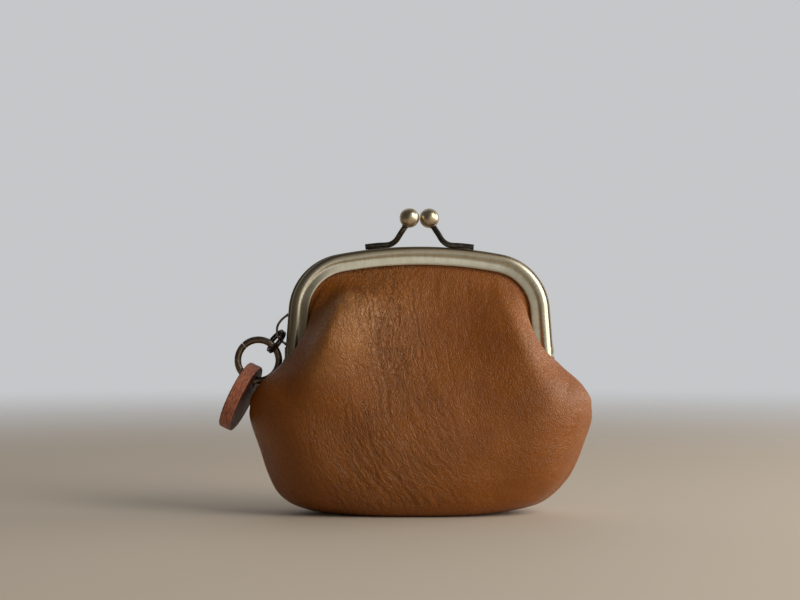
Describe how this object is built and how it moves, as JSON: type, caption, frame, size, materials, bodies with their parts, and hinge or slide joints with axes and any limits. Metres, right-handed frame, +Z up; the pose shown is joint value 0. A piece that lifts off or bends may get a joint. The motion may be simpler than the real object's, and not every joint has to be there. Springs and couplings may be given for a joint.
{
  "type": "coin purse",
  "caption": "Kiss-lock leather coin purse with a hinged arched brass frame, a ball clasp, a cloth lining and a round leather charm on two rings.",
  "frame": {"origin": "the middle of the flat base that the closed purse stands on", "axes": "+X along the frame towards the side without the charm, +Y towards the back, +Z up"},
  "size_m": [0.1197, 0.04, 0.0976],
  "materials": {
    "antique_brass": "satin antique brass, brushed across the band",
    "dark_brass": "oxidised dark bronze wire",
    "ball_brass": "polished antique brass",
    "tan_leather": "pebbled semi-gloss vegetable-tanned leather",
    "lining_cloth": "plain cotton",
    "paper_cord": "twisted kraft paper",
    "charm_leather": "thick russet leather with a fibrous cut edge"
  },
  "bodies": {
    "bag": {"leather_body": "tan_leather", "lining_body": "lining_cloth"},
    "front_half": {"front_frame": "antique_brass", "front_clasp_arm": "dark_brass", "front_clasp_ball": "ball_brass", "front_paper_cord": "paper_cord", "front_leather_flap": "tan_leather", "front_lining_flap": "lining_cloth"},
    "back_half": {"back_frame": "antique_brass", "back_clasp_arm": "dark_brass", "back_clasp_ball": "ball_brass", "back_paper_cord": "paper_cord", "back_leather_flap": "tan_leather", "back_lining_flap": "lining_cloth", "left_hinge_rivet": "dark_brass", "right_hinge_rivet": "dark_brass", "side_loop": "dark_brass"},
    "link": {"link_ring": "dark_brass"},
    "ring": {"charm_ring": "dark_brass"},
    "charm": {"leather_charm": "charm_leather"}
  },
  "joints": [
    {"name": "front_open", "type": "hinge", "parent": "bag", "child": "front_half", "pos_m": [0, 0, 0.0475], "axis": [1, 0, 0], "range_deg": [0, 45], "deforming": ["front_leather_flap", "front_lining_flap", "leather_body", "lining_body"]},
    {"name": "back_open", "type": "hinge", "parent": "bag", "child": "back_half", "pos_m": [0, 0, 0.0475], "axis": [1, 0, 0], "range_deg": [-45, 0], "deforming": ["back_leather_flap", "back_lining_flap"]},
    {"name": "link_hang", "type": "hinge", "parent": "back_half", "child": "link", "pos_m": [-0.04392, 0.0018, 0.05743], "axis": [0.99, 0.1409, 0], "range_deg": [0, 45]},
    {"name": "ring_turn", "type": "hinge", "parent": "link", "child": "ring", "pos_m": [-0.0518, 0.00188, 0.0488], "axis": [0, 1, 0], "range_deg": [0, 40]},
    {"name": "charm_swing", "type": "hinge", "parent": "ring", "child": "charm", "pos_m": [-0.05466, 0.00188, 0.04285], "axis": [0.8944, -0.1219, -0.4304], "range_deg": [-30, 30]}
  ],
  "couplings": [
    {"joint": "back_open", "follows": "front_open", "ratio": -1},
    {"joint": "link_hang", "follows": "front_open", "ratio": 1}
  ]
}
